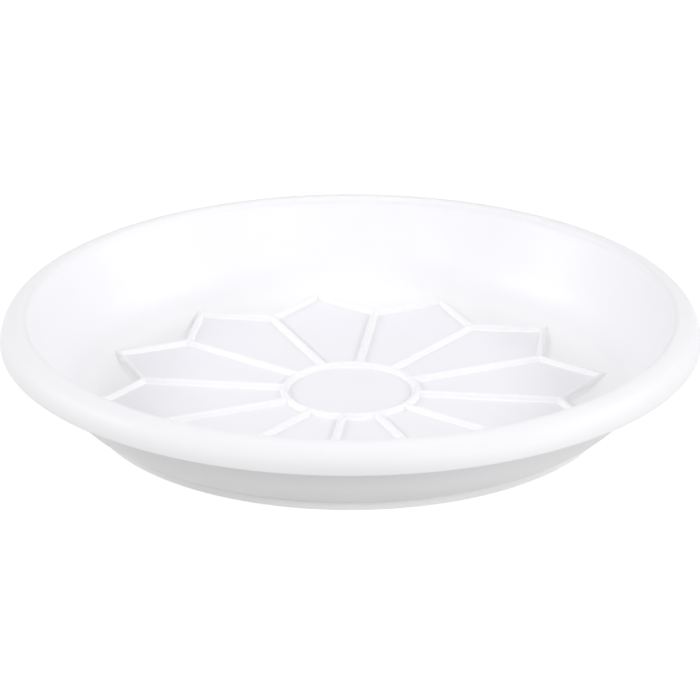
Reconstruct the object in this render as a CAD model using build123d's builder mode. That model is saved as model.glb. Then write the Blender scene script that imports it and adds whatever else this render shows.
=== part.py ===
from build123d import *
import math
import os

# Round moulded plant saucer with a flower of drainage ribs on its floor.
# Millimetres, +Z up, origin at the centre of the plane that the foot rests on.

# Dish: overall sizes
rim_diameter = 280.0  # over the outside of the rolled rim
overall_height = 40.4  # resting plane to the crest of the rim
shell_thickness = 2.2  # floor and side wall

# Rolled rim
rim_width = 10.8  # inside of the wall, where it meets the rim, out to the rim's outside
rim_thickness = 2.0  # roof of the rim, and height of its upright inner edge
rim_edge_round = 1.2  # inner top edge of the rim
lip_drop = 10.8  # crest down to the lower edge of the lip
lip_thickness = 2.0  # skirt of the lip at its lower edge
lip_edge_round = 0.6  # both lower edges of the lip

# Side wall
wall_flare_angle = 27.6  # straight part of the wall, leaning out from upright
heel_radius = 26.0  # inside bend from the floor up into the wall

# Floor and foot
floor_clearance = 1.4  # underside of the floor above the resting plane
foot_inset = 5.5  # foot's outside, in from the corner that floor and wall would make without a bend
foot_width = 2.8
foot_edge_round = 0.5  # both lower edges of the foot ring

# Rib flower on the floor
petal_count = 12
rib_width = 2.6  # at the floor
rib_height = 2.2
rib_draft_angle = 5.0  # each side face leans in towards the crown
ring_diameter = 53.4  # middle line of the centre ring
tip_inset = 2.2  # tip of a petal's middle line, in from the wall at the height of the rib crowns
petal_point_length = 18.9  # tip of a petal in to the fork where its radial ribs end
first_rib_angle = 23.0  # direction of the first radial rib from +X

# Room past a face that cuts a piece
cut_overrun = 5.0

# Heights
floor_top = floor_clearance + shell_thickness
crown_height = floor_top + rib_height
rim_seat_height = overall_height - rim_thickness
lip_bottom = overall_height - lip_drop

# Radii of the rim
rim_radius = rim_diameter / 2
wall_top_inner = rim_radius - rim_width
lip_inner = rim_radius - lip_thickness

# Slope of the straight wall, and the corner where it would meet the floor without a bend
wall_slope = math.radians(90 - wall_flare_angle)
wall_top_outer = wall_top_inner + shell_thickness / math.sin(wall_slope)
corner_radius = wall_top_inner - (rim_seat_height - floor_top) / math.tan(wall_slope)

# The bend starts at the edge of the flat floor and ends on the straight wall
floor_radius = corner_radius - heel_radius * math.tan(wall_slope / 2)
bend_centre = Vector(floor_radius, floor_top + heel_radius)


def bend_point(radius, angle):
    """Point on a bend of this radius, at an angle turned up from straight down."""
    return bend_centre + Vector(math.sin(angle), -math.cos(angle)) * radius


outer_bend_radius = heel_radius + shell_thickness
inner_bend_mid = bend_point(heel_radius, wall_slope / 2)
inner_bend_end = bend_point(heel_radius, wall_slope)
outer_bend_mid = bend_point(outer_bend_radius, wall_slope / 2)
outer_bend_end = bend_point(outer_bend_radius, wall_slope)

os.makedirs("parts", exist_ok=True)


def save(piece, name):
    """Label a finished piece and write it as its own file."""
    piece.label = name
    export_step(piece, f"parts/{name}.step")


# Floor plate: the flat disc inside the bend
with BuildPart() as floor_plate:
    with BuildSketch(Plane.XY.offset(floor_clearance)):
        Circle(floor_radius)
    extrude(amount=shell_thickness)
save(floor_plate.part, "floor_plate")

# Heel bend: an even shell that turns up from the floor into the wall
with BuildPart() as heel_bend:
    with BuildSketch(Plane.XZ):
        with BuildLine():
            Line((floor_radius, floor_clearance), (floor_radius, floor_top))
            ThreePointArc((floor_radius, floor_top), inner_bend_mid, inner_bend_end)
            Line(inner_bend_end, outer_bend_end)
            ThreePointArc(outer_bend_end, outer_bend_mid, (floor_radius, floor_clearance))
        make_face()
    revolve(axis=Axis.Z)
save(heel_bend.part, "heel_bend")

# Side wall: the straight flare, from the bend up to the seat of the rim
with BuildPart() as side_wall:
    with BuildSketch(Plane.XZ):
        with BuildLine():
            Polyline(
                inner_bend_end,
                (wall_top_inner, rim_seat_height),
                (wall_top_outer, rim_seat_height),
                outer_bend_end,
                close=True,
            )
        make_face()
    revolve(axis=Axis.Z)
save(side_wall.part, "side_wall")

# Rolled rim: upright inner edge, then a quarter round that turns out and down to the lip
crest_start = wall_top_inner + rim_edge_round
skirt_end = lip_bottom + lip_edge_round
with BuildPart() as rolled_rim:
    with BuildSketch(Plane.XZ):
        with BuildLine():
            Line((wall_top_inner, rim_seat_height), (wall_top_inner, overall_height - rim_edge_round))
            CenterArc((crest_start, overall_height - rim_edge_round), rim_edge_round, 90, 90)
            EllipticalCenterArc(
                (crest_start, skirt_end), rim_radius - crest_start, overall_height - skirt_end, arc_size=90
            )
            CenterArc((rim_radius - lip_edge_round, skirt_end), lip_edge_round, 270, 90)
            Line((rim_radius - lip_edge_round, lip_bottom), (lip_inner + lip_edge_round, lip_bottom))
            CenterArc((lip_inner + lip_edge_round, skirt_end), lip_edge_round, 180, 90)
            EllipticalCenterArc(
                (wall_top_outer, skirt_end), lip_inner - wall_top_outer, rim_seat_height - skirt_end, arc_size=90
            )
            Line((wall_top_outer, rim_seat_height), (wall_top_inner, rim_seat_height))
        make_face()
    revolve(axis=Axis.Z)
save(rolled_rim.part, "rolled_rim")

# Everything inside the outer skin of the dish, used only to cut the foot
with BuildPart() as dish_outside:
    with BuildSketch(Plane.XZ):
        with BuildLine():
            Polyline(
                (wall_top_outer, rim_seat_height),
                (0, rim_seat_height),
                (0, floor_clearance),
                (floor_radius, floor_clearance),
            )
            ThreePointArc((floor_radius, floor_clearance), outer_bend_mid, outer_bend_end)
            Line(outer_bend_end, (wall_top_outer, rim_seat_height))
        make_face()
    revolve(axis=Axis.Z)

# Foot ring: a narrow band that carries the dish, shaped on top to the bend above it
foot_radius = corner_radius - foot_inset
with BuildPart() as foot_ring:
    with BuildSketch():
        Circle(foot_radius)
        Circle(foot_radius - foot_width, mode=Mode.SUBTRACT)
    extrude(amount=rim_seat_height)
    fillet(foot_ring.faces().sort_by(Axis.Z)[0].edges(), radius=foot_edge_round)
    add(dish_outside.part, mode=Mode.SUBTRACT)
save(foot_ring.part, "foot_ring")

# The room above the floor and inside the wall, used only to trim the ribs
with BuildPart() as dish_inside:
    with BuildSketch(Plane.XZ):
        with BuildLine():
            Polyline(
                (wall_top_inner, rim_seat_height),
                (0, rim_seat_height),
                (0, floor_top),
                (floor_radius, floor_top),
            )
            ThreePointArc((floor_radius, floor_top), inner_bend_mid, inner_bend_end)
            Line(inner_bend_end, (wall_top_inner, rim_seat_height))
        make_face()
    revolve(axis=Axis.Z)

# Centre ring: a round rib with drafted sides
half_width = rib_width / 2
half_crown = half_width - rib_height * math.tan(math.radians(rib_draft_angle))
ring_radius = ring_diameter / 2
with BuildPart() as centre_ring:
    with BuildSketch(Plane.XZ):
        with BuildLine():
            Polyline(
                (ring_radius - half_width, floor_top),
                (ring_radius + half_width, floor_top),
                (ring_radius + half_crown, crown_height),
                (ring_radius - half_crown, crown_height),
                close=True,
            )
        make_face()
    revolve(axis=Axis.Z)
save(centre_ring.part, "centre_ring")

# Petal ribs: each is the pointed outer edge of one petal, two legs that meet at a tip
petal_angle = 360 / petal_count
wall_at_crown = floor_radius + math.sqrt(heel_radius**2 - (heel_radius - rib_height) ** 2)
tip_radius = wall_at_crown - tip_inset
valley_radius = tip_radius - petal_point_length
valley_x = valley_radius * math.cos(math.radians(petal_angle / 2))
valley_y = valley_radius * math.sin(math.radians(petal_angle / 2))
leg_length = math.hypot(tip_radius - valley_x, valley_y)
along_x = (tip_radius - valley_x) / leg_length
along_y = valley_y / leg_length


def leg_edge(side):
    """Tip point and far point of a leg's edge, moved out from the middle line by this much."""
    reach = leg_length + cut_overrun
    tip_x = tip_radius + side / along_y
    far_x = tip_radius - reach * along_x + side * along_y
    far_y = reach * along_y + side * along_x
    return tip_x, far_x, far_y


outer_tip, outer_far_x, outer_far_y = leg_edge(half_width)
inner_tip, inner_far_x, inner_far_y = leg_edge(-half_width)
petal_ribs = []
for petal in range(petal_count):
    turn = first_rib_angle + petal_angle * (petal + 0.5)
    with BuildPart() as petal_rib:
        with BuildSketch(Plane.XY.offset(floor_top).rotated((0, 0, turn))):
            with BuildLine():
                Polyline(
                    (outer_tip, 0),
                    (outer_far_x, outer_far_y),
                    (inner_far_x, inner_far_y),
                    (inner_tip, 0),
                    (inner_far_x, -inner_far_y),
                    (outer_far_x, -outer_far_y),
                    close=True,
                )
            make_face()
        extrude(amount=rib_height, taper=rib_draft_angle)
        for side in (-1, 1):
            valley_plane = Plane.XZ.rotated((0, 0, turn + side * petal_angle / 2))
            split(bisect_by=valley_plane, keep=Keep.BOTTOM if side < 0 else Keep.TOP)
        add(dish_inside.part, mode=Mode.INTERSECT)
    save(petal_rib.part, f"petal_rib_{petal + 1:02d}")
    petal_ribs.append(petal_rib.part)

# Radial ribs: straight bars from the centre ring to the fork between two petals
rib_length = valley_radius - ring_radius
for rib in range(petal_count):
    turn = first_rib_angle + petal_angle * rib
    with BuildPart() as radial_rib:
        with BuildSketch(Plane.XY.offset(floor_top).rotated((0, 0, turn))):
            with Locations(((ring_radius + valley_radius) / 2, 0)):
                Rectangle(rib_length, rib_width)
        extrude(amount=rib_height, taper=rib_draft_angle)
        add(centre_ring.part, mode=Mode.SUBTRACT)
        add([petal_ribs[rib], petal_ribs[rib - 1]], mode=Mode.SUBTRACT)
        add(dish_inside.part, mode=Mode.INTERSECT)
    save(radial_rib.part, f"radial_rib_{rib + 1:02d}")
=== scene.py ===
import bpy
import math
from mathutils import Euler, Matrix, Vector


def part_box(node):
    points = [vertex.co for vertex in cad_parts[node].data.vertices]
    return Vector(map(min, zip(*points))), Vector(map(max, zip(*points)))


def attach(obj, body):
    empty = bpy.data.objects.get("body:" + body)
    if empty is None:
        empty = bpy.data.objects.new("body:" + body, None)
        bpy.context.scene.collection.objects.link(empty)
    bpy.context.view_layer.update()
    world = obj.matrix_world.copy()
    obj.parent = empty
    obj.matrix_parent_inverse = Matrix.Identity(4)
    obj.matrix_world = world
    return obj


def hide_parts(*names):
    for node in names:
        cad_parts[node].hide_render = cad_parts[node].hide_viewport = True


# White moulded plant saucer on a pale studio floor. Metres, +Z up, axis of the dish on Z.

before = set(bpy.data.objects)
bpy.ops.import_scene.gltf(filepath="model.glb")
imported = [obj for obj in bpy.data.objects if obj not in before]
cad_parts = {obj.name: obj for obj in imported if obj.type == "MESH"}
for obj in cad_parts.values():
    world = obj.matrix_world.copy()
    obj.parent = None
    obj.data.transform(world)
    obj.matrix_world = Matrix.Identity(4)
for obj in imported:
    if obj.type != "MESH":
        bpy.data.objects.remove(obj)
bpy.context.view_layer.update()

# Sizes read from the frame
floor_low, floor_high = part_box("floor_plate")
floor_radius = floor_high[0]
floor_top = floor_high[2]
floor_under = floor_low[2]
shell_thickness = floor_top - floor_under
rim_low, rim_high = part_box("rolled_rim")
rim_radius = rim_high[0]
rim_top = rim_high[2]
lip_bottom = rim_low[2]
rim_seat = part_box("side_wall")[1][2]
foot_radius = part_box("foot_ring")[1][0]
ring_outer, _, crown_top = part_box("centre_ring")[1]

# Sizes of the dish that a box doesn't give
rim_width = 0.0108
rim_steep = math.radians(80)
lip_thickness = 0.0020
lip_edge_round = 0.0006
heel_radius = 0.0260
wall_slope = math.radians(62.4)
crease_round = 0.0060
foot_width = 0.0028
foot_edge_round = 0.0005

# Sizes of the rib flower
petal_count = 12
first_rib_angle = math.radians(23.0)
rib_width = 0.0026
rib_draft = math.radians(5.0)
rib_edge_round = 0.00080
rib_root_round = 0.00050
rib_dome = 0.00012
tip_inset = 0.0022
petal_point_length = 0.0189
rib_height = crown_top - floor_top
ring_radius = ring_outer - rib_width / 2
wall_at_crown = floor_radius + math.sqrt(heel_radius**2 - (heel_radius - rib_height) ** 2)
tip_radius = wall_at_crown - tip_inset
fork_radius = tip_radius - petal_point_length
half_petal = math.pi / petal_count
fork = Vector((fork_radius * math.cos(half_petal), -fork_radius * math.sin(half_petal), 0))
leg = Vector((tip_radius, 0, 0)) - fork
leg_direction = math.atan2(leg.y, leg.x)
first_tip_angle = first_rib_angle + half_petal

# Sizes of the finish: grain, patches, clouds, turning marks, and how far the painted light on the bend goes
# past the tips
grain_size = 0.0005
patch_size = 0.020
cloud_size = 0.060
mark_spacing = 0.0011
mark_depth = 0.00004
painted_bend_light_reach = 0.008

# How finely round shapes are divided
turn_steps = 360
quarter_steps = 12
rib_steps = 48

# Depth that one shape runs into the one it grows from, so that no gap shows, and how near points are one
bite = 0.00015
weld = 1e-7

# Photograph: size of its frame, the pixel that the centre of the rib crowns falls on, and the camera
photo_size = 700
centre_pixel = Vector((350.6, 386.8))
sensor_width = 36.0
lens_length = 183.0
camera_distance = 1.436
camera_elevation = math.radians(23.0)
camera_roll = math.radians(-0.09)


class Wiring:
    """One node tree: adds nodes, sets their values and links their sockets."""

    def __init__(self, tree):
        self.tree = tree

    def put(self, socket, value):
        if isinstance(value, bpy.types.NodeSocket):
            self.tree.links.new(value, socket)
        else:
            socket.default_value = value

    def add(self, kind, inputs, **settings):
        node = self.tree.nodes.new(kind)
        for name, value in settings.items():
            setattr(node, name, value)
        for socket, value in inputs.items():
            self.put(node.inputs[socket], value)
        return node

    def math(self, operation, *values):
        return self.add("ShaderNodeMath", dict(enumerate(values)), operation=operation).outputs[0]

    def distance(self, x, y):
        return self.math("SQRT", self.math("MULTIPLY_ADD", y, y, self.math("MULTIPLY", x, x)))

    def join(self, x, y, z):
        return self.add("ShaderNodeCombineXYZ", {0: x, 1: y, 2: z}).outputs[0]

    def parts(self, vector):
        return self.add("ShaderNodeSeparateXYZ", {0: vector}).outputs


def node_group(name, kind, inputs, outputs):
    """A new node tree with named sockets, its wiring, and its input and output nodes."""
    tree = bpy.data.node_groups.new(name, kind)
    for label, socket_type in inputs:
        tree.interface.new_socket(label, in_out="INPUT", socket_type="NodeSocket" + socket_type)
    for label, socket_type in outputs:
        tree.interface.new_socket(label, in_out="OUTPUT", socket_type="NodeSocket" + socket_type)
    wiring = Wiring(tree)
    return wiring, wiring.add("NodeGroupInput", {}).outputs, wiring.add("NodeGroupOutput", {}).inputs


# Sections: points of (radius or offset, height) that the shapes are turned or drawn from


def arc(centre, radii, start, end, steps):
    """Points on an arc round a centre, from one angle to another in degrees, up from outwards."""
    angles = [math.radians(start + (end - start) * k / steps) for k in range(steps + 1)]
    return [(centre[0] + radii[0] * math.cos(a), centre[1] + radii[1] * math.sin(a)) for a in angles]


def even(radius):
    return (radius, radius)


wall_top_inner = rim_radius - rim_width
wall_top_outer = wall_top_inner + shell_thickness / math.sin(wall_slope)
bend_centre = (floor_radius, floor_top + heel_radius)
outer_bend_radius = heel_radius + shell_thickness
slope_degrees = math.degrees(wall_slope)

# Inside the rim the wall steepens in a soft crease up to the seat, where the roll of the rim starts
steep_degrees = math.degrees(rim_steep)
crease_rise = crease_round * (math.cos(wall_slope) - math.cos(rim_steep))
crease_start = (wall_top_inner - crease_rise / math.tan(wall_slope), rim_seat - crease_rise)
crease_centre = (
    crease_start[0] - crease_round * math.sin(wall_slope),
    crease_start[1] + crease_round * math.cos(wall_slope),
)
seat_inner = crease_centre[0] + crease_round * math.sin(rim_steep)
roll_round = (rim_top - rim_seat) / (1 - math.cos(rim_steep))
crest_start = seat_inner + roll_round * math.sin(rim_steep)


def dish_section():
    """Floor, bend and flared wall as one line, from the axis on top round to the axis below."""
    support = 0.0005

    def up_wall(point):
        return (point[0] + support * math.cos(wall_slope), point[1] + support * math.sin(wall_slope))

    points = [(0, floor_top)]
    points += [(floor_radius * share, floor_top) for share in (0.2, 0.4, 0.6, 0.8)]
    points.append((floor_radius - support, floor_top))
    points += arc(bend_centre, even(heel_radius), -90, slope_degrees - 90, 2 * quarter_steps)
    points.append(up_wall(points[-1]))
    points += arc(crease_centre, even(crease_round), slope_degrees - 90, steep_degrees - 90, quarter_steps)
    points.append((wall_top_outer, rim_seat))
    outer_bend = arc(bend_centre, even(outer_bend_radius), slope_degrees - 90, -90, 2 * quarter_steps)
    points.append(up_wall(outer_bend[0]))
    points += outer_bend
    points.append((floor_radius - support, floor_under))
    points += [(floor_radius * share, floor_under) for share in (0.8, 0.6, 0.4, 0.2)]
    points.append((0, floor_under))
    return points


def rim_section():
    """Roll from the steep inner edge to the crest, quarter round to the lip, and the channel inside it."""
    skirt = lip_bottom + lip_edge_round
    lip_inner = rim_radius - lip_thickness
    shoulder = (rim_radius - crest_start, rim_top - skirt)
    channel = (lip_inner - wall_top_outer, rim_seat - skirt)
    points = arc((crest_start, rim_top - roll_round), even(roll_round), 90 + steep_degrees, 90, quarter_steps)
    points += arc((crest_start, skirt), shoulder, 90, 0, 3 * quarter_steps)[1:]
    points += arc((rim_radius - lip_edge_round, skirt), even(lip_edge_round), 0, -90, quarter_steps // 2)[1:]
    points += arc((lip_inner + lip_edge_round, skirt), even(lip_edge_round), 270, 180, quarter_steps // 2)
    points += arc((wall_top_outer, skirt), channel, 0, 90, 2 * quarter_steps)[1:]
    return points


def foot_section():
    """Narrow band under the bend, with rounded lower edges, that runs a little into the shell above it."""
    inner = foot_radius - foot_width

    def shell_height(radius):
        return bend_centre[1] - math.sqrt(outer_bend_radius**2 - (radius - floor_radius) ** 2) + bite

    points = [(inner, shell_height(inner)), (foot_radius, shell_height(foot_radius))]
    edge = even(foot_edge_round)
    points += arc((foot_radius - foot_edge_round, foot_edge_round), edge, 0, -90, quarter_steps // 2)
    points += arc((inner + foot_edge_round, foot_edge_round), edge, 270, 180, quarter_steps // 2)
    return points


def rib_section():
    """Round crown edges, drafted sides and soft roots: offset from the middle line, height over the floor."""
    half_width = rib_width / 2
    half_crown = half_width - rib_height * math.tan(rib_draft)
    edge = (half_crown - rib_edge_round, rib_height - rib_dome - rib_edge_round)
    root = (half_width + rib_root_round, rib_root_round)
    steps = quarter_steps // 2
    right = [(0, rib_height)]
    right += arc(edge, even(rib_edge_round), 90, 0, steps)
    right += arc(root, even(rib_root_round), 180, 270, steps)
    right.append((root[0], -bite))
    left = [(-offset, level) for offset, level in reversed(right[1:])]
    return left + right


# Shapes: node trees that turn a section round the axis, or draw it along a rib


def sweep(wiring, section, rail, rail_value, caps):
    """A section drawn along a rail: the mesh, and at each vertex the section's point and the rail's value."""
    outline = wiring.add("GeometryNodeMeshToCurve", {0: section}).outputs[0]
    kept_section = wiring.add("GeometryNodeCaptureAttribute", {0: outline})
    kept_section.capture_items.new("VECTOR", "Section")
    wiring.put(kept_section.inputs[1], wiring.add("GeometryNodeInputPosition", {}).outputs[0])
    kept_rail = wiring.add("GeometryNodeCaptureAttribute", {0: rail})
    kept_rail.capture_items.new("FLOAT", "Rail")
    wiring.put(kept_rail.inputs[1], rail_value)
    inputs = {"Curve": kept_rail.outputs[0], "Profile Curve": kept_section.outputs[0], "Fill Caps": caps}
    mesh = wiring.add("GeometryNodeCurveToMesh", inputs).outputs[0]
    return mesh, wiring.parts(kept_section.outputs[1]), kept_rail.outputs[1]


def finish_shape(wiring, mesh, material, crease_angle):
    """Smooth shading, with edges sharper than an angle kept crisp, and the material."""
    bend = wiring.add("GeometryNodeInputMeshEdgeAngle", {}).outputs[0]
    crisp = wiring.add("FunctionNodeCompare", {0: bend, 1: crease_angle}, operation="GREATER_THAN").outputs[0]
    smooth = wiring.add("GeometryNodeSetShadeSmooth", {0: mesh, 2: True}).outputs[0]
    marked = {0: smooth, 1: crisp, 2: False}
    creased = wiring.add("GeometryNodeSetShadeSmooth", marked, domain="EDGE").outputs[0]
    whole = wiring.add("GeometryNodeRealizeInstances", {0: creased}).outputs[0]
    return wiring.add("GeometryNodeSetMaterial", {0: whole, 2: material}).outputs[0]


def turned_tree():
    """A section in the XZ half plane, turned round Z."""
    inputs = [("Section", "Geometry"), ("Steps", "Int"), ("Crease Angle", "Float"), ("Material", "Material")]
    wiring, given, result = node_group("turned_shape", "GeometryNodeTree", inputs, [("Shape", "Geometry")])
    unit_circle = {"Resolution": given["Steps"], "Radius": 1.0}
    circle = wiring.add("GeometryNodeCurvePrimitiveCircle", unit_circle).outputs[0]
    index = wiring.add("GeometryNodeInputIndex", {}).outputs[0]
    angle = wiring.math("MULTIPLY", wiring.math("DIVIDE", index, given["Steps"]), math.tau)
    mesh, section, around = sweep(wiring, given["Section"], circle, angle, False)
    x = wiring.math("MULTIPLY", section["X"], wiring.math("COSINE", around))
    y = wiring.math("MULTIPLY", section["X"], wiring.math("SINE", around))
    moved = {"Geometry": mesh, "Position": wiring.join(x, y, section["Z"])}
    placed = wiring.add("GeometryNodeSetPosition", moved).outputs[0]
    merged = wiring.add("GeometryNodeMergeByDistance", {"Geometry": placed, "Distance": weld}).outputs[0]
    shape = finish_shape(wiring, merged, given["Material"], given["Crease Angle"])
    wiring.put(result["Shape"], shape)
    return wiring.tree


def rib_tree():
    """One straight rib with cut ends that follows the bend, mirrored if asked and repeated round Z."""
    inputs = [
        ("Section", "Geometry"),
        ("Start", "Vector"),
        ("Direction", "Float"),
        ("Length", "Float"),
        ("Start Point", "Float"),
        ("End Point", "Float"),
        ("End Slant", "Float"),
        ("Mirrored", "Bool"),
        ("Count", "Int"),
        ("First Angle", "Float"),
        ("Steps", "Int"),
        ("Floor Radius", "Float"),
        ("Floor Height", "Float"),
        ("Bend Radius", "Float"),
        ("Crown Height", "Float"),
        ("Crease Angle", "Float"),
        ("Material", "Material"),
    ]
    wiring, given, result = node_group("drainage_ribs", "GeometryNodeTree", inputs, [("Shape", "Geometry")])
    line = wiring.add("GeometryNodeCurvePrimitiveLine", {}).outputs[0]
    rail = wiring.add("GeometryNodeResampleCurve", {"Curve": line, "Count": given["Steps"]}).outputs[0]
    share = wiring.add("GeometryNodeSplineParameter", {}).outputs["Factor"]
    mesh, section, share = sweep(wiring, given["Section"], rail, share, True)
    offset, level = section["X"], section["Z"]

    # Both ends are cut to the middle planes of the ribs that they meet
    reach = wiring.math("ABSOLUTE", offset)
    first = wiring.math("MULTIPLY", reach, given["Start Point"])
    last = wiring.math("SUBTRACT", given["Length"], wiring.math("MULTIPLY", reach, given["End Point"]))
    last = wiring.math("SUBTRACT", last, wiring.math("MULTIPLY", offset, given["End Slant"]))
    along = wiring.math("MULTIPLY_ADD", wiring.math("SUBTRACT", last, first), share, first)

    # Place on the floor plan
    start = wiring.parts(given["Start"])
    cosine = wiring.math("COSINE", given["Direction"])
    sine = wiring.math("SINE", given["Direction"])
    x = wiring.math("MULTIPLY_ADD", along, cosine, start["X"])
    x = wiring.math("SUBTRACT", x, wiring.math("MULTIPLY", offset, sine))
    y = wiring.math("MULTIPLY_ADD", along, sine, start["Y"])
    y = wiring.math("MULTIPLY_ADD", offset, cosine, y)

    # The foot follows the bend of the floor, and the crown stays level
    radius = wiring.distance(x, y)
    past = wiring.math("MAXIMUM", wiring.math("SUBTRACT", radius, given["Floor Radius"]), 0.0)
    bend_square = wiring.math("POWER", given["Bend Radius"], 2.0)
    drop = wiring.math("SUBTRACT", bend_square, wiring.math("POWER", past, 2.0))
    rise = wiring.math("SUBTRACT", given["Bend Radius"], wiring.math("SQRT", drop))
    ground = wiring.math("ADD", given["Floor Height"], rise)
    full = wiring.math("SUBTRACT", given["Crown Height"], given["Floor Height"])
    room = wiring.math("MAXIMUM", wiring.math("SUBTRACT", given["Crown Height"], ground), 0.0)
    share_up = wiring.math("DIVIDE", wiring.math("MAXIMUM", level, 0.0), full)
    buried = wiring.math("ADD", ground, wiring.math("MINIMUM", level, 0.0))
    z = wiring.math("MULTIPLY_ADD", share_up, room, buried)
    moved = {"Geometry": mesh, "Position": wiring.join(x, y, z)}
    placed = wiring.add("GeometryNodeSetPosition", moved).outputs[0]

    # The drawn rib is inside out, so it is flipped, and its mirror image, a petal's other leg, is not
    rib = wiring.add("GeometryNodeFlipFaces", {0: placed}).outputs[0]
    mirrored = wiring.add("GeometryNodeTransform", {"Geometry": placed, "Scale": (1.0, -1.0, 1.0)}).outputs[0]
    both = wiring.add("GeometryNodeJoinGeometry", {}).inputs[0]
    for leg in (rib, mirrored):
        wiring.put(both, leg)
    choice = {"Switch": given["Mirrored"], "False": rib, "True": both.node.outputs[0]}
    petal = wiring.add("GeometryNodeSwitch", choice, input_type="GEOMETRY").outputs[0]

    # One copy for each petal
    points = wiring.add("GeometryNodePoints", {"Count": given["Count"]}).outputs[0]
    index = wiring.add("GeometryNodeInputIndex", {}).outputs[0]
    step = wiring.math("DIVIDE", math.tau, given["Count"])
    angle = wiring.math("MULTIPLY_ADD", index, step, given["First Angle"])
    turn = wiring.add("FunctionNodeEulerToRotation", {0: wiring.join(0.0, 0.0, angle)}).outputs[0]
    copies = {"Points": points, "Instance": petal, "Rotation": turn}
    flower = wiring.add("GeometryNodeInstanceOnPoints", copies).outputs[0]
    flower = wiring.add("GeometryNodeRealizeInstances", {0: flower}).outputs[0]
    shape = finish_shape(wiring, flower, given["Material"], given["Crease Angle"])
    wiring.put(result["Shape"], shape)
    return wiring.tree


def shape_piece(name, section, closed, tree, values):
    """A plain mesh made by a node tree from a section, with the tree's inputs set by name."""
    mesh = bpy.data.meshes.new(name)
    edges = [(k, k + 1) for k in range(len(section) - 1)]
    if closed:
        edges.append((len(section) - 1, 0))
    mesh.from_pydata([(offset, 0, level) for offset, level in section], edges, [])
    piece = bpy.data.objects.new(name, mesh)
    bpy.context.scene.collection.objects.link(piece)
    modifier = piece.modifiers.new(name, "NODES")
    modifier.node_group = tree
    for item in tree.interface.items_tree:
        if item.in_out == "INPUT" and item.name in values:
            modifier[item.identifier] = values[item.name]
    made = piece.evaluated_get(bpy.context.evaluated_depsgraph_get())
    piece_mesh = bpy.data.meshes.new_from_object(made)
    piece.modifiers.remove(modifier)
    piece.data = piece_mesh
    piece_mesh.name = name
    bpy.data.meshes.remove(mesh)
    return piece


# Finishes: patterns that the plastics share, then one plastic for each kind of surface


def noise(wiring, place, size, detail):
    """Soft random value from 0 to 1, with lumps of about this size."""
    scale = wiring.math("DIVIDE", 1.0, size)
    return wiring.add("ShaderNodeTexNoise", {"Vector": place, "Scale": scale, "Detail": detail}).outputs[0]


def between(wiring, value, start, end, low, high):
    """A value that goes smoothly from low to high as another goes from start to end."""
    inputs = {"Value": value, "From Min": start, "From Max": end, "To Min": low, "To Max": high}
    return wiring.add("ShaderNodeMapRange", inputs, interpolation_type="SMOOTHSTEP").outputs[0]


def blended(wiring, share, first, second):
    """A colour between two others."""
    inputs = {"Factor": share, "A": first, "B": second}
    mix = wiring.tree.nodes.new("ShaderNodeMix")
    mix.data_type = "RGBA"
    sockets = {socket.name: socket for socket in mix.inputs if socket.enabled}
    for name, value in inputs.items():
        wiring.put(sockets[name], value)
    return next(socket for socket in mix.outputs if socket.enabled)


def past_petals(wiring, place):
    """How far a place is outside the outline of the petals. Below zero it is inside."""
    radius = wiring.distance(place["X"], place["Y"])
    angle = wiring.math("SUBTRACT", wiring.math("ARCTAN2", place["Y"], place["X"]), first_tip_angle)
    from_tip = wiring.math("PINGPONG", angle, half_petal)
    outwards = wiring.math("MULTIPLY", radius, wiring.math("COSINE", from_tip))
    sideways = wiring.math("MULTIPLY", radius, wiring.math("SINE", from_tip))
    past_tip = wiring.math("SUBTRACT", outwards, tip_radius)
    ahead = wiring.math("MULTIPLY", past_tip, math.sin(leg_direction))
    return wiring.math("MULTIPLY_ADD", sideways, math.cos(leg_direction), ahead)


def mould_grain():
    """Fine grain of the mould's surface, with broad patches where it is worn smoother."""
    inputs = [("Place", "Vector"), ("Grain Size", "Float"), ("Patch Size", "Float")]
    outputs = [("Height", "Float"), ("Patches", "Float")]
    wiring, given, result = node_group("mould_grain", "ShaderNodeTree", inputs, outputs)
    wiring.put(result["Height"], noise(wiring, given["Place"], given["Grain Size"], 2.0))
    wiring.put(result["Patches"], noise(wiring, given["Place"], given["Patch Size"], 3.0))
    return wiring.tree


def turning_marks():
    """Faint rings left by turning the mould: a height that changes only outwards and upwards."""
    inputs = [("Place", "Vector"), ("Spacing", "Float")]
    wiring, given, result = node_group("turning_marks", "ShaderNodeTree", inputs, [("Height", "Float")])
    place = wiring.parts(given["Place"])
    along = wiring.math("ADD", wiring.distance(place["X"], place["Y"]), place["Z"])
    wiring.put(result["Height"], noise(wiring, wiring.join(along, 0.0, 0.0), given["Spacing"], 1.0))
    return wiring.tree


def milky_tone_painted_light():
    """White plastic with flow clouds, painted shade inside the petals and painted light on the bend round
    them.
    """
    inputs = [
        ("Place", "Vector"),
        ("Tone", "Color"),
        ("Clouded Tone", "Color"),
        ("Petal Painted Shade", "Color"),
        ("Bend Painted Light", "Color"),
        ("Bend Radius", "Float"),
        ("Wall Radius", "Float"),
        ("Cloud Size", "Float"),
    ]
    wiring, given, result = node_group("milky_tone_painted_light", "ShaderNodeTree", inputs, [("Color", "Color")])
    clouds = between(wiring, noise(wiring, given["Place"], given["Cloud Size"], 4.0), 0.35, 0.7, 0.0, 1.0)
    tone = blended(wiring, clouds, given["Tone"], given["Clouded Tone"])
    place = wiring.parts(given["Place"])
    radius = wiring.distance(place["X"], place["Y"])
    # Painted light: a lighter tone on the bend, fading out past the tips
    bend_light_share = between(wiring, radius, given["Bend Radius"], given["Wall Radius"], 1.0, 0.0)
    tone = blended(wiring, bend_light_share, tone, given["Bend Painted Light"])
    # Painted shade: a darker tone on the floor inside the petals
    petal_shade_share = between(wiring, past_petals(wiring, place), -rib_width / 2, rib_width / 2, 1.0, 0.0)
    wiring.put(result["Color"], blended(wiring, petal_shade_share, tone, given["Petal Painted Shade"]))
    return wiring.tree


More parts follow.
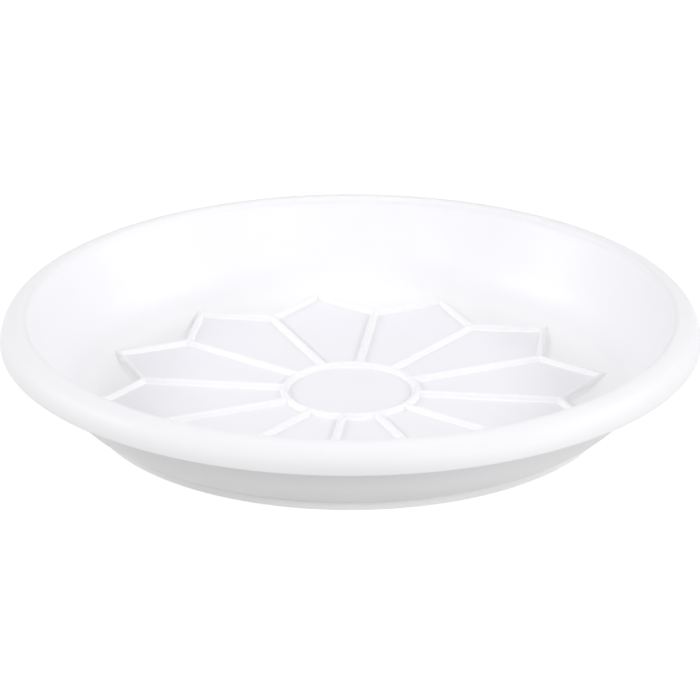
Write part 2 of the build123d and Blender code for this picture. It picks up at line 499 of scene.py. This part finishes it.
def rubbed_band():
    """1 at the height where a pot or a shelf rubs, and 0 a short way off, broken up by patches."""
    inputs = [("Place", "Vector"), ("Rub Height", "Float"), ("Reach", "Float"), ("Patches", "Float")]
    wiring, given, result = node_group("rubbed_band", "ShaderNodeTree", inputs, [("Mask", "Float")])
    height = wiring.parts(given["Place"])["Z"]
    away = wiring.math("ABSOLUTE", wiring.math("SUBTRACT", height, given["Rub Height"]))
    near = between(wiring, away, 0.0, given["Reach"], 1.0, 0.0)
    broken = between(wiring, given["Patches"], 0.3, 0.6, 0.5, 1.0)
    wiring.put(result["Mask"], wiring.math("MULTIPLY", near, broken))
    return wiring.tree


finishes = {tree.name: tree for tree in (mould_grain(), turning_marks(), milky_tone_painted_light(), rubbed_band())}


def plastic(name, whites, roughness, rub_height, rub_change, marks):
    """Satin white plastic: clouded colour with painted shade and painted light, mould grain, turning marks,
    and a gloss that rubbing changes.
    """
    tone, clouded_tone, painted_petal_tone, painted_bend_tone = whites
    material = bpy.data.materials.new(name)
    material.use_nodes = True
    wiring = Wiring(material.node_tree)
    shader = material.node_tree.nodes["Principled BSDF"].inputs
    place = wiring.add("ShaderNodeTexCoord", {}).outputs["Object"]

    def finish(tree, inputs):
        node = wiring.tree.nodes.new("ShaderNodeGroup")
        node.node_tree = finishes[tree]
        for socket, value in inputs.items():
            wiring.put(node.inputs[socket], value)
        return node.outputs

    grain = finish("mould_grain", {"Place": place, "Grain Size": grain_size, "Patch Size": patch_size})
    rings = finish("turning_marks", {"Place": place, "Spacing": mark_spacing})
    colour = finish(
        "milky_tone_painted_light",
        {
            "Place": place,
            "Tone": (*tone, 1.0),
            "Clouded Tone": (*clouded_tone, 1.0),
            "Petal Painted Shade": (*painted_petal_tone, 1.0),
            "Bend Painted Light": (*painted_bend_tone, 1.0),
            "Bend Radius": tip_radius,
            "Wall Radius": tip_radius + painted_bend_light_reach,
            "Cloud Size": cloud_size,
        },
    )
    rub = {"Place": place, "Rub Height": rub_height, "Reach": rib_height / 2, "Patches": grain["Patches"]}
    rubbed = finish("rubbed_band", rub)
    wiring.put(shader["Base Color"], colour["Color"])
    satin = between(wiring, grain["Patches"], 0.3, 0.7, roughness - 0.03, roughness + 0.03)
    wiring.put(shader["Roughness"], wiring.math("MULTIPLY_ADD", rubbed["Mask"], rub_change, satin))
    fine = wiring.math("MULTIPLY", grain["Height"], 0.5)
    height = wiring.math("MULTIPLY_ADD", rings["Height"], marks, fine)
    bump = {"Height": height, "Strength": 0.25, "Distance": mark_depth}
    wiring.put(shader["Normal"], wiring.add("ShaderNodeBump", bump).outputs[0])
    return material


# Painted shade: the petal tone is darker and cooler than the wall, for the shade on the floor inside the
# petals
petal_painted_shade = (0.902, 0.894, 0.932)
# Painted light: the bend tone is lighter than the wall, for the light on the floor round the petals
bend_painted_light = (0.945, 0.941, 0.957)
wall_white = (0.913, 0.909, 0.929)
wall_clouded = (0.904, 0.900, 0.920)
# Painted shade: the rim's whites are a little darker than the wall's, though rim and wall are one plastic
rim_painted_shade_white = (0.904, 0.900, 0.920)
rim_clouded_painted_shade = (0.895, 0.891, 0.911)
# Painted light: the foot band is a lighter white than the wall, for the light it catches
foot_painted_light_white = (0.950, 0.947, 0.958)
# Painted light: ribs and centre ring are a lighter white than the floor, for the light and sheen on their
# crowns
rib_painted_light_white = (0.935, 0.934, 0.941)
dish_tones_with_painted_light = (wall_white, wall_clouded, petal_painted_shade, bend_painted_light)
rim_tones_painted_shade = (rim_painted_shade_white, rim_clouded_painted_shade, rim_painted_shade_white, rim_painted_shade_white)
foot_tones_painted_light = (foot_painted_light_white, wall_white, foot_painted_light_white, foot_painted_light_white)
rib_tones_painted_light = (rib_painted_light_white, wall_white, rib_painted_light_white, rib_painted_light_white)
dish_plastic = plastic("dish_plastic", dish_tones_with_painted_light, 0.42, crown_top, 0.0, 1.0)
rim_plastic = plastic("rim_plastic", rim_tones_painted_shade, 0.50, rim_top, -0.06, 0.5)
foot_plastic = plastic("foot_plastic", foot_tones_painted_light, 0.45, 0.0, 0.15, 0.5)
rib_plastic = plastic("rib_plastic", rib_tones_painted_light, 0.42, crown_top, -0.05, 0.0)

# Pieces
turned = turned_tree()
ribs = rib_tree()
crease_angle = math.radians(35)


def turned_piece(name, section, closed, material, *nodes):
    values = {"Steps": turn_steps, "Crease Angle": crease_angle, "Material": material}
    piece = shape_piece(name, section, closed, turned, values)
    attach(piece, "root")
    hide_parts(*nodes)


def rib_piece(name, values, nodes):
    shared = {
        "Count": petal_count,
        "Steps": rib_steps,
        "Floor Radius": floor_radius,
        "Floor Height": floor_top,
        "Bend Radius": heel_radius,
        "Crown Height": crown_top,
        "Crease Angle": crease_angle,
        "Material": rib_plastic,
    }
    piece = shape_piece(name, rib_section(), True, ribs, shared | values)
    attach(piece, "root")
    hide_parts(*nodes)


turned_piece("dish_shell", dish_section(), False, dish_plastic, "floor_plate", "heel_bend", "side_wall")
turned_piece("rim_roll", rim_section(), True, rim_plastic, "rolled_rim")
turned_piece("foot_band", foot_section(), True, foot_plastic, "foot_ring")
ring_section = [(ring_radius + offset, floor_top + level) for offset, level in rib_section()]
turned_piece("floor_ring", ring_section, True, rib_plastic, "centre_ring")

fork_turn = leg_direction + half_petal
spokes = {
    "Start": (ring_radius, 0, 0),
    "Direction": 0.0,
    "Length": fork_radius - ring_radius,
    "Start Point": 0.0,
    "End Point": 1 / math.tan(fork_turn),
    "End Slant": 0.0,
    "Mirrored": False,
    "First Angle": first_rib_angle,
}
rib_piece("spoke_ribs", spokes, [f"radial_rib_{k:02d}" for k in range(1, petal_count + 1)])
petal_legs = {
    "Start": tuple(fork),
    "Direction": leg_direction,
    "Length": leg.length,
    "Start Point": 1 / math.tan(fork_turn),
    "End Point": 0.0,
    "End Slant": 1 / math.tan(leg_direction),
    "Mirrored": True,
    "First Angle": first_tip_angle,
}
rib_piece("petal_edges", petal_legs, [f"petal_rib_{k:02d}" for k in range(1, petal_count + 1)])


# Studio
lamp_distance = 1.9


def seen_or_mirrored(wiring):
    """1 on rays from the camera, and on those that a glossy or clear surface sends on."""
    path = wiring.add("ShaderNodeLightPath", {}).outputs
    either = wiring.math("MAXIMUM", path["Is Camera Ray"], path["Is Glossy Ray"])
    return wiring.math("MAXIMUM", either, path["Is Transmission Ray"])


def studio_world():
    """White to look at, and a soft even light on the saucer."""
    world = bpy.data.worlds.new("studio_world")
    bpy.context.scene.world = world
    world.use_nodes = True
    world.node_tree.nodes.clear()
    wiring = Wiring(world.node_tree)
    sky = {"Color": (0.985, 0.985, 1.0, 1.0), "Strength": 0.475}
    backdrop = {"Color": (1.0, 1.0, 1.0, 1.0), "Strength": 1.0}
    light = wiring.add("ShaderNodeBackground", sky).outputs[0]
    white = wiring.add("ShaderNodeBackground", backdrop).outputs[0]
    shown = wiring.add("ShaderNodeMixShader", {0: seen_or_mirrored(wiring), 1: light, 2: white}).outputs[0]
    wiring.add("ShaderNodeOutputWorld", {"Surface": shown})


def studio_floor():
    """Pale floor that looks white and keeps the saucer's soft shadow."""
    half_side = 4.0
    mesh = bpy.data.meshes.new("studio_floor")
    corner_shares = [(-1, -1), (1, -1), (1, 1), (-1, 1)]
    corners = [(half_side * x, half_side * y, 0) for x, y in corner_shares]
    mesh.from_pydata(corners, [], [(0, 1, 2, 3)])
    floor = bpy.data.objects.new("studio_floor", mesh)
    bpy.context.scene.collection.objects.link(floor)
    material = bpy.data.materials.new("floor_paper")
    material.use_nodes = True
    material.node_tree.nodes.clear()
    wiring = Wiring(material.node_tree)

    def lit_paper(tone, shade, glow):
        colour = (*(shade * part for part in tone), 1.0)
        diffuse = wiring.add("ShaderNodeBsdfDiffuse", {"Color": colour}).outputs[0]
        light = wiring.add("ShaderNodeEmission", {"Color": (*tone, 1.0), "Strength": glow}).outputs[0]
        return wiring.add("ShaderNodeAddShader", {0: diffuse, 1: light}).outputs[0]

    bounce = lit_paper((1.0, 0.99, 0.97), 0.40, 0.25)
    paper = lit_paper((1.0, 1.0, 1.0), 0.28, 0.84)
    shown = wiring.add("ShaderNodeMixShader", {0: seen_or_mirrored(wiring), 1: bounce, 2: paper}).outputs[0]
    wiring.add("ShaderNodeOutputMaterial", {"Surface": shown})
    mesh.materials.append(material)


def soft_lamp(name, direction, elevation, side, power):
    """A square soft lamp, at a compass direction from +X and an elevation, aimed at the saucer."""
    data = bpy.data.lights.new(name, "AREA")
    data.shape = "SQUARE"
    data.size = side
    data.energy = power
    lamp = bpy.data.objects.new(name, data)
    spread = math.cos(math.radians(elevation))
    heading = math.radians(direction)
    way = Vector((math.cos(heading) * spread, math.sin(heading) * spread, math.sin(math.radians(elevation))))
    lamp.location = way * lamp_distance
    lamp.rotation_euler = way.to_track_quat("Z", "Y").to_euler()
    bpy.context.scene.collection.objects.link(lamp)


def photo_camera():
    """The photograph's view: the centre of the rib crowns falls on its pixel."""
    data = bpy.data.cameras.new("photo_camera")
    data.sensor_width = sensor_width
    data.lens = lens_length
    camera = bpy.data.objects.new("photo_camera", data)
    focal_pixels = lens_length / sensor_width * photo_size
    offset = (centre_pixel - Vector((photo_size / 2, photo_size / 2))) / focal_pixels
    pitch = math.pi / 2 - camera_elevation + math.atan(offset.y)
    yaw = math.atan(offset.x)
    centre = Vector((0, 0, crown_top))
    away = Vector((0, -math.cos(camera_elevation), math.sin(camera_elevation)))
    camera.location = centre + away * camera_distance
    aim = Euler((0, 0, yaw)).to_matrix() @ Euler((pitch, 0, 0)).to_matrix()
    camera.rotation_euler = (aim @ Euler((0, 0, camera_roll)).to_matrix()).to_euler()
    bpy.context.scene.collection.objects.link(camera)
    bpy.context.scene.camera = camera


studio_world()
studio_floor()
soft_lamp("right_lamp", 0, 32, 0.4, 7.9)
soft_lamp("front_right_lamp", -58, 29, 0.5, 6.1)
soft_lamp("front_left_lamp", -125, 28, 0.5, 5.0)
soft_lamp("left_lamp", 180, 32, 0.5, 9.1)
soft_lamp("top_lamp", 0, 88, 0.5, 3.1)
soft_lamp("low_fill", -34, 8, 0.5, 3.5)
photo_camera()
bpy.context.scene.view_settings.view_transform = "Standard"
